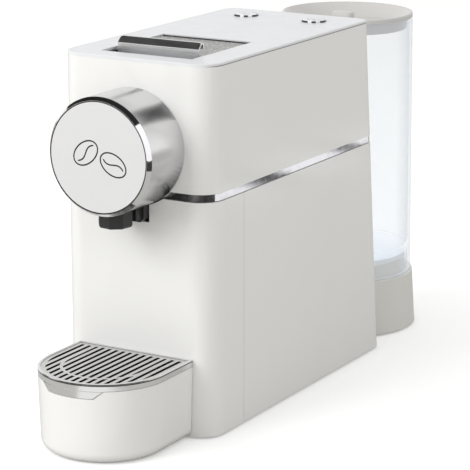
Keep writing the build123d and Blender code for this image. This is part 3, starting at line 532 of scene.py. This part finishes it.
# ---- tank ----
def make_tank():
    """The clear tank: a round wall on a raised floor with an outlet, all with rounded corners."""
    wall = 2.4 * MM
    floor_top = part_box("tank_valve")[0].z + 5.3 * MM
    floor_under = floor_top - 4.0 * MM
    z0 = tank_low.z
    z1 = tank_high.z
    profile = rounded([
        (0, floor_top),
        (TANK_FOOT_R - wall, floor_top, 6 * MM),
        (TANK_R - wall, z1, 0.5 * MM),
        (TANK_R, z1, 1.0 * MM),
        (TANK_FOOT_R, z0, 0.9 * MM),
        (TANK_FOOT_R - wall, z0, 0.6 * MM),
        (TANK_FOOT_R - wall, floor_under, 3 * MM),
        (0, floor_under),
    ], steps=6)
    outlet = centre_of("tank_valve")
    bore = 4.2 * MM
    whole = lathe("tank_clear", profile, TANK_AXIS)
    mesh = with_hole(whole, outlet, bore, floor_under - wall, floor_top + wall)
    tank = new_piece("tank_clear", mesh, materials["clear_tank"], "tank")
    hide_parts("tank_shell")
    make_outlet_collar(outlet, bore, floor_under)


def make_outlet_collar(outlet, bore, top_z):
    """The short tube under the tank's floor that fits over the nipple and its seal."""
    outer = 9.0 * MM
    socket = 6.5 * MM
    step_z = top_z - 1.0 * MM
    foot_z = tank_low.z + 4.2 * MM
    profile = rounded([
        (bore, top_z),
        (outer, top_z),
        (outer, foot_z, 0.5 * MM),
        (socket, foot_z, 0.5 * MM),
        (socket, step_z),
        (bore, step_z),
    ])
    mesh = lathe("tank_outlet_collar", profile, outlet, 64)
    new_piece("tank_outlet_collar", mesh, materials["clear_tank"], "tank")


def with_hole(mesh, centre, radius, z0, z1):
    """The mesh with a round upright hole cut through it."""
    pin = [Vector((0, z0)), Vector((radius, z0)), Vector((radius, z1)), Vector((0, z1))]
    body = bpy.data.objects.new("cut_body", mesh)
    cutter = bpy.data.objects.new("cutter", lathe("cutter", pin, centre, 48))
    for piece in (body, cutter):
        bpy.context.scene.collection.objects.link(piece)
    cut = body.modifiers.new("cut", "BOOLEAN")
    cut.operation = "DIFFERENCE"
    cut.object = cutter
    depsgraph = bpy.context.evaluated_depsgraph_get()
    result = bpy.data.meshes.new_from_object(body.evaluated_get(depsgraph))
    for piece in (body, cutter):
        bpy.data.objects.remove(piece)
    smooth(result)
    return result


def make_lid():
    """The lid: a flange on the tank's mouth, a skirt inside it, a dished top and a grip in the dish."""
    low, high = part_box("tank_lid")
    flange_z = tank_high.z + 0.3 * MM
    radius = (high.x - low.x) / 2
    skirt = radius - 3.4 * MM
    dish_r = 38.0 * MM
    dish = LID_DISH_Z
    profile = rounded([
        (0, dish),
        (dish_r, dish, 5 * MM),
        (radius - 1.9 * MM, high.z, 0.6 * MM),
        (radius, high.z, 0.8 * MM),
        (radius, flange_z, 0.5 * MM),
        (skirt, flange_z, 0.4 * MM),
        (skirt - 1.0 * MM, low.z, 0.8 * MM),
        (skirt - 3.0 * MM, low.z, 0.6 * MM),
        (skirt - 3.0 * MM, dish - 1.8 * MM, 1 * MM),
        (0, dish - 1.8 * MM),
    ], steps=5)
    mesh = lathe("lid_moulding", profile, TANK_AXIS)
    lid = new_piece("lid_moulding", mesh, lid_greige_painted_shade, "lid")
    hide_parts("tank_lid")
    grip_size = (17 * MM, 9 * MM, 9.6 * MM)
    grip_shift = -3.5 * MM
    grip_lift = 4.2 * MM
    grip = rounded_block("lid_grip", grip_size, 3.4 * MM, 1.2 * MM)
    grip.transform(Matrix.Translation((TANK_AXIS.x + grip_shift, TANK_AXIS.y, dish + grip_lift)))
    new_piece("lid_grip", grip, lid_greige_painted_shade, "lid")


def rounded_block(name, size, side_radius, top_radius):
    """A block with round vertical corners and softened top and bottom edges."""
    work = bmesh.new()
    bmesh.ops.create_cube(work, size=1.0)
    bmesh.ops.scale(work, vec=size, verts=work.verts)
    uprights = [e for e in work.edges if abs(e.verts[0].co.z - e.verts[1].co.z) > size[2] / 2]
    bmesh.ops.bevel(work, geom=uprights, offset=side_radius, segments=8, affect="EDGES", profile=0.5)
    level = [e for e in work.edges if all(abs(v.co.z) > size[2] * 0.49 for v in e.verts)]
    rims = [e for e in level if e.calc_face_angle(0) > 1]
    bmesh.ops.bevel(work, geom=rims, offset=top_radius, segments=4, affect="EDGES", profile=0.5)
    mesh = bpy.data.meshes.new(name)
    work.to_mesh(mesh)
    work.free()
    smooth(mesh)
    return mesh


# ---- grille ----
def make_grille_ribs():
    """Black plastic ribs under the bars of the grille."""
    low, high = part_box("grille_plate")
    half = (high.x - low.x) / 2
    inset = 3.0 * MM
    reach = half - inset
    nose_y = low.y + half
    pitch = 5.5 * MM
    rib_width = 2.6 * MM
    rib_height = 5.0 * MM
    gap = 0.05 * MM
    work = bmesh.new()
    for step in range(-7, 7):
        x = (step + 0.5) * pitch
        y0 = nose_y - math.sqrt(reach ** 2 - min(reach, abs(x)) ** 2)
        y1 = high.y - inset
        z = low.z - gap - rib_height / 2
        rib = bmesh.ops.create_cube(work, size=1.0)["verts"]
        bmesh.ops.scale(work, vec=(rib_width, y1 - y0, rib_height), verts=rib)
        bmesh.ops.translate(work, vec=(x, (y0 + y1) / 2, z), verts=rib)
    bmesh.ops.bevel(work, geom=list(work.edges), offset=0.25 * MM, segments=2, affect="EDGES", profile=0.5)
    mesh = bpy.data.meshes.new("grille_ribs")
    work.to_mesh(mesh)
    work.free()
    new_piece("grille_ribs", mesh, materials["plastic_black"], "grille")


# ---- printed marks, and marks of painted shade and painted reflection ----
def ribbon(name, lines, width, height, place):
    """Thin raised strips along flat lines, for print and for a line of painted shade, given as (points,
    closed) pairs.
    place turns (u, v, height) into a point in the frame."""
    vertices = []
    faces = []
    taper = 0.55
    crown = 0.8
    for line, closed in lines:
        points = [Vector(p) for p in line]
        count = len(points)
        base = len(vertices)
        for index, point in enumerate(points):
            before = points[index - 1] if index or closed else point
            after = points[(index + 1) % count] if index < count - 1 or closed else point
            along = (after - before).normalized()
            side = Vector((-along.y, along.x)) * (width / 2)
            if not closed and index in (0, count - 1):
                side *= taper
            for offset, up in ((side, 0), (side * crown, height), (-side * crown, height), (-side, 0)):
                corner = point + offset
                vertices.append(place(corner.x, corner.y, up))
        spans = count if closed else count - 1
        for index in range(spans):
            a = base + 4 * index
            b = base + 4 * ((index + 1) % count)
            for k in range(4):
                faces.append((a + k, b + k, b + (k + 1) % 4, a + (k + 1) % 4))
        if not closed:
            faces.append((base, base + 1, base + 2, base + 3))
            last = base + 4 * (count - 1)
            faces.append((last + 3, last + 2, last + 1, last))
    mesh = bpy.data.meshes.new(name)
    mesh.from_pydata(vertices, [], faces)
    fix_normals(mesh)
    return mesh


def arc(centre, radius, start, end, steps=24, squeeze=1.0):
    """Points along an arc from start to end, in degrees, flattened by squeeze."""
    points = []
    for step in range(steps + 1):
        angle = math.radians(start + (end - start) * step / steps)
        points.append((centre[0] + radius * math.cos(angle), centre[1] + radius * squeeze * math.sin(angle)))
    return points


def turned(points, degrees, shift):
    """The points turned round the origin and then shifted."""
    spin = Matrix.Rotation(math.radians(degrees), 2)
    return [tuple(spin @ Vector(p) + Vector(shift)) for p in points]


def bean_lines(size, degrees, shift):
    """A coffee bean in outline: an oval with a wavy seam that stops short of the outline."""
    oval = arc((0, 0), size, 0, 352.5, 47, 0.66)
    seam = []
    seam_reach = 0.8
    for step in range(21):
        u = seam_reach * (step / 10 - 1)
        seam.append((size * u, size * 0.17 * math.sin(u * math.pi / 0.9)))
    return [(turned(oval, degrees, shift), True), (turned(seam, degrees, shift), False)]


def make_disc_print():
    """A generic thin-line drawing of two beans in the middle of the satin disc."""
    size = 10.4 * MM

    def place(u, v, up):
        return (u, DISC_FACE_Y + 0.03 * MM - up, HEAD_Z + v)

    lines = bean_lines(size, 38, (-9.4 * MM, 2.2 * MM))
    lines += bean_lines(size, -28, (11.6 * MM, -3.6 * MM))
    mesh = ribbon("disc_print", lines, 1.15 * MM, 0.04 * MM, place)
    new_piece("disc_print", mesh, black_print_and_shade, "frame")


def make_disc_groove_shade():
    """A dark line of painted shade round the satin disc, in the groove between the disc and the bezel."""
    circle = arc((0, 0), DISC_R - 0.3 * MM, 0, 357.5, 143)

    def place(u, v, up):
        return (u, DISC_FACE_Y + 0.03 * MM - up, HEAD_Z + v)

    # painted shade: a black line standing for the shade in the groove round the disc
    mesh = ribbon("disc_groove_shade", [(circle, True)], 0.95 * MM, 0.04 * MM, place)
    new_piece("disc_groove_shade", mesh, black_print_and_shade, "frame")


def make_button_marks():
    """Three black strips of painted reflection on each button's side wall, and small cups and an arc printed
    on its top.
    """
    for side in ("left", "right"):
        node = "button_" + side
        centre = centre_of(node)
        low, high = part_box(node)
        radius = (high.x - low.x) / 2
        # painted reflection: black strips on the side wall stand for dark reflections in it
        mesh = wall_reflection_strips("reflection_strips_" + node, centre, radius, high.z)
        new_piece("reflection_strips_" + node, mesh, reflection_strip_black, side + "_button")
        cups = 1 if side == "left" else 2
        spacing = 5.6 * MM
        lines = []
        for k in range(cups):
            shift = (centre.x + (k - (cups - 1) / 2) * spacing, centre.y + 0.4 * MM)
            lines += cup_lines(2.1 * MM, shift)
        lines.append((arc((centre.x, centre.y), radius - 1.4 * MM, 15, 165), False))
        raise_by = 0.03 * MM

        def on_cap(u, v, up):
            return (u, v, high.z - raise_by + up)

        mesh = ribbon("cups_" + node, lines, 0.6 * MM, raise_by, on_cap)
        new_piece("cups_" + node, mesh, grey_ink, side + "_button")


def wall_reflection_strips(name, centre, radius, top_z):
    """Black strips of painted reflection that follow the button's side wall and the round of its top edge."""
    proud = 0.06 * MM
    fillet = 0.4 * MM
    foot_z = top_z - 1.35 * MM
    section = [(radius - 0.2 * MM, foot_z), (radius + proud, foot_z)]
    for step in range(5):
        angle = math.radians(62 * step / 4)
        reach = fillet + proud
        section.append((radius - fillet + reach * math.cos(angle), top_z - fillet + reach * math.sin(angle)))
    section.append((radius - fillet, top_z - fillet))
    vertices = []
    faces = []
    size = len(section)
    for start, end in ((-137, -91), (-72, -52), (-31, 20)):
        steps = max(4, round((end - start) / 3))
        base = len(vertices)
        for step in range(steps + 1):
            angle = math.radians(start + (end - start) * step / steps)
            for r, z in section:
                across = Vector((math.cos(angle), math.sin(angle))) * r
                vertices.append((centre.x + across.x, centre.y + across.y, z))
        for step in range(steps):
            for k in range(size):
                a = base + step * size + k
                b = base + step * size + (k + 1) % size
                faces.append((a, b, b + size, a + size))
        faces.append(tuple(range(base, base + size)))
        faces.append(tuple(reversed(range(base + steps * size, base + (steps + 1) * size))))
    mesh = bpy.data.meshes.new(name)
    mesh.from_pydata(vertices, [], faces)
    fix_normals(mesh)
    smooth(mesh, 40)
    return mesh


def cup_lines(size, shift):
    """A small generic cup with a handle, on a saucer."""
    bowl = arc((0, 0), size, 180, 360, 16, 1.1)
    rim = [(-size * 1.25, 0), (size * 1.25, 0)]
    handle = arc((size, -size * 0.45), size * 0.45, -80, 80, 10)
    saucer = [(-size * 1.1, -size * 1.45), (size * 1.1, -size * 1.45)]
    return [(turned(line, 0, shift), False) for line in (bowl, rim, handle, saucer)]


# ---- stage ----
def plain(name, colour, **values):
    """An even matt material for the stage, with fixed values for some of its sockets."""
    s = Shader(name)
    s.colour(s.mix(s.noise(3, 3), shade(colour, 0.995), shade(colour, 1.005)))
    s.roughness(s.ramp(s.noise(5, 2), 0.76, 0.8))
    return s.set(**values).material


def on_stage(name, mesh, material):
    """Adds a mesh to the scene as a part of the stage."""
    mesh.materials.append(material)
    piece = bpy.data.objects.new(name, mesh)
    bpy.context.scene.collection.objects.link(piece)
    piece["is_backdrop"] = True
    return piece


def sheet(name, corners):
    """A mesh of one flat face."""
    mesh = bpy.data.meshes.new(name)
    mesh.from_pydata(corners, [], [tuple(range(len(corners)))])
    return mesh


def level_corners(x0, x1, y0, y1, z):
    return [(x0, y0, z), (x1, y0, z), (x1, y1, z), (x0, y1, z)]


def make_floor():
    mesh = bpy.data.meshes.new("floor")
    work = bmesh.new()
    bmesh.ops.create_circle(work, cap_ends=True, radius=9.0, segments=96)
    work.to_mesh(mesh)
    work.free()
    on_stage("floor", mesh, plain("floor_white", (0.90, 0.90, 0.89), glow_colour=(1, 1, 1, 1), glow=0.29))


def make_floor_flag():
    """A dim sheet on the floor, unseen by the camera and from below, that holds back bounced light."""
    s = Shader("flag_grey")
    s.colour(s.mix(s.noise(3, 3), (0.58, 0.57, 0.545), (0.60, 0.59, 0.565)))
    s.roughness(s.ramp(s.noise(5, 2), 0.85, 0.95))
    s.link(s.ramp(s.add("ShaderNodeNewGeometry").outputs["Backfacing"], 1.0, 0.0), s.bsdf.inputs["Alpha"])
    reach = 4.0
    corners = level_corners(-reach, reach, -reach, reach, 0.2 * MM)
    flag = on_stage("floor_flag", sheet("floor_flag", corners), s.material)
    flag.visible_camera = False
    flag.visible_shadow = False
    flag.visible_transmission = False


# ---- studio cards ----
def card(name, corners, material):
    """A flat studio card that only shows in reflections, given by its corners."""
    piece = on_stage(name, sheet(name, corners), material)
    piece.visible_camera = False
    piece.visible_diffuse = False
    piece.visible_shadow = False
    piece.visible_transmission = False


def flat_card(name, x0, x1, y0, y1, z, material):
    card(name, level_corners(x0, x1, y0, y1, z), material)


def wall_card(name, points, forward, material):
    """A small card just in front of the body, seen only in the drum. Points are x and z in millimetres."""
    card(name, [(u * MM, FRONT_Y - forward * MM, v * MM) for u, v in points], material)


def grown(points, factor):
    """The points moved away from their middle."""
    u = sum(p[0] for p in points) / len(points)
    v = sum(p[1] for p in points) / len(points)
    return [(u + (p[0] - u) * factor, v + (p[1] - v) * factor) for p in points]


def ring_sector(radius, start, end):
    """Points round the drum's axis from start to end, in degrees clockwise from its top."""
    steps = 12
    angles = [math.radians(start + (end - start) * k / steps) for k in range(steps + 1)]
    return [(radius * math.sin(a), HEAD_Z / MM + radius * math.cos(a)) for a in angles]


CARD_INK = (0.012, 0.012, 0.012)
card_black = plain("card_black", CARD_INK)
card_white = plain("card_white", (0.85, 0.85, 0.87), glow_colour=(0.96, 0.96, 1.0, 1), glow=0.35)
card_pale = plain("card_pale", (0.80, 0.80, 0.80), glow_colour=(1, 1, 1, 1), glow=0.18)
card_soft = plain("card_soft_black", CARD_INK, alpha=0.42)
card_haze = plain("card_haze", CARD_INK, alpha=0.20)


def make_head_cards():
    """What the bezel sees: dark above and on the left, white on the right, dark low down on the right."""
    flat_card("card_overhead", -1.2, 0.78, -1.1, 0.4, 1.1, card_black)
    flat_card("card_floor_front", -0.9, 0.62, -0.86, -0.50, 2 * MM, card_black)
    flat_card("card_floor_right", 0.45, 1.7, -0.65, -0.25, 2 * MM, card_black)
    left_x = -1.2
    left = [(-0.2, 0.5), (0.8, 0.5), (0.8, 1.1), (-0.2, 1.1)]
    card("card_left", [(left_x, y, z) for y, z in left], card_black)
    right_x = 0.7
    right = [(-0.56, 0.10), (-0.28, 0.10), (-0.28, 1.03), (-0.56, 1.03)]
    card("card_right", [(right_x, y, z) for y, z in right], card_white)


def make_band_cards():
    """What the chrome band and the tray rim see on the floor. Round its front corner the band turns from
    dark to white, and along the side it is white with two soft dark patches."""
    flat_card("card_floor_corner", 0.66, 0.82, -0.25, -0.07, 2 * MM, card_black)
    bend = [(0.75, -0.07), (0.74, 0.02), (0.71, 0.10), (0.66, 0.21), (0.60, 0.32), (0.50, 0.42), (0.41, 0.49)]
    outer = [(x + 0.03, y + 0.01, 3 * MM) for x, y in bend]
    inner = [(x - 0.04, y - 0.01, 3 * MM) for x, y in reversed(bend)]
    card("card_floor_bend", outer + inner, card_white)
    x0 = 0.36
    x1 = 0.46
    flat_card("card_floor_side", x0, x1, 0.48, 0.84, 3 * MM, card_white)
    tones = (card_soft, card_soft, card_soft, card_black)
    for name, middle, reach in (("near", 0.548, 0.030), ("far", 0.722, 0.020)):
        for step, tone in enumerate(tones):
            half = reach * (1.25 - 0.22 * step)
            label = "card_band_%s_%d" % (name, step)
            flat_card(label, x0, x1, middle - half, middle + half, (4 + step) * MM, tone)
    flat_card("card_floor_rim", -0.03, 0.14, -0.46, -0.24, 3 * MM, card_pale)


def make_drum_cards():
    """Painted reflections for the drum: soft dark cards just in front of the white front, seen only in the
    drum, give a wide and a thin streak near its top, and a painted reflection of shade round its lower right
    edge."""
    streak = [(25, 228), (27, 256), (46, 241), (33, 221)]
    for step in range(5):
        wall_card("card_streak_%d" % step, grown(streak, 1.3 - 0.22 * step), 0.6 + 0.1 * step, card_soft)
    thin = [(-13, 252), (-10, 254), (7, 236), (4, 235)]
    for step in range(2):
        wall_card("card_thin_%d" % step, grown(thin, 1.2 - 0.5 * step), 0.6 + 0.1 * step, card_soft)
    end = 156
    for step in range(7):
        start = 100 + 5 * step
        rim = ring_sector(41 + 2.5 * step, start, end)
        hub = ring_sector(DRUM_R / MM + 0.2, start, end)
        wall_card("card_edge_%d" % step, rim + list(reversed(hub)), 0.6 + 0.1 * step, card_haze)


# ---- lights ----
def area(name, location, target, size, power, colour=(1, 1, 1)):
    """A rectangular light that points at a target."""
    data = bpy.data.lights.new(name, "AREA")
    data.shape = "RECTANGLE"
    data.size, data.size_y = size
    data.energy = power
    data.color = colour
    light = bpy.data.objects.new(name, data)
    light.location = location
    direction = Vector(target) - Vector(location)
    light.rotation_euler = direction.to_track_quat("-Z", "Y").to_euler()
    bpy.context.scene.collection.objects.link(light)
    return light


def make_world(horizon, overhead):
    """Even studio light, brighter round the horizon than straight above."""
    world = bpy.data.worlds.new("studio")
    world.use_nodes = True
    tree = world.node_tree
    background = tree.nodes["Background"]
    background.inputs["Color"].default_value = (1.0, 0.994, 0.978, 1)
    parts = tree.nodes.new("ShaderNodeSeparateXYZ")
    tree.links.new(tree.nodes.new("ShaderNodeTexCoord").outputs["Generated"], parts.inputs["Vector"])
    fade = tree.nodes.new("ShaderNodeMapRange")
    fade.inputs["From Min"].default_value = 0.0
    fade.inputs["From Max"].default_value = 1.0
    fade.inputs["To Min"].default_value = horizon
    fade.inputs["To Max"].default_value = overhead
    tree.links.new(parts.outputs["Z"], fade.inputs["Value"])
    tree.links.new(fade.outputs["Result"], background.inputs["Strength"])
    bpy.context.scene.world = world


make_camera()
dress_frame()
soften_edges()
make_tank()
make_lid()
make_disc_print()
make_disc_groove_shade()
make_button_marks()
make_grille_ribs()

make_floor()
make_floor_flag()
make_head_cards()
make_band_cards()
make_drum_cards()
make_world(1.15, 0.46)
light_size = (1.6, 1.6)
key = area("key", (-1.1, -2.0, 1.35), (0, 0, 0.14), light_size, 34)
key.visible_glossy = False
area("top", (0.1, 0.3, 2.2), (0, 0, 0.1), light_size, 6, (0.88, 0.94, 1.0))

scene = bpy.context.scene
scene.view_settings.view_transform = "Standard"
scene.view_settings.look = "None"
scene.cycles.max_bounces = 14
scene.cycles.transmission_bounces = 10
scene.cycles.transparent_max_bounces = 10
scene.cycles.use_denoising = True

boxes = {"cad": cad_box, "visual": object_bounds()}
{name: [list(corner) for corner in box] for name, box in boxes.items()}
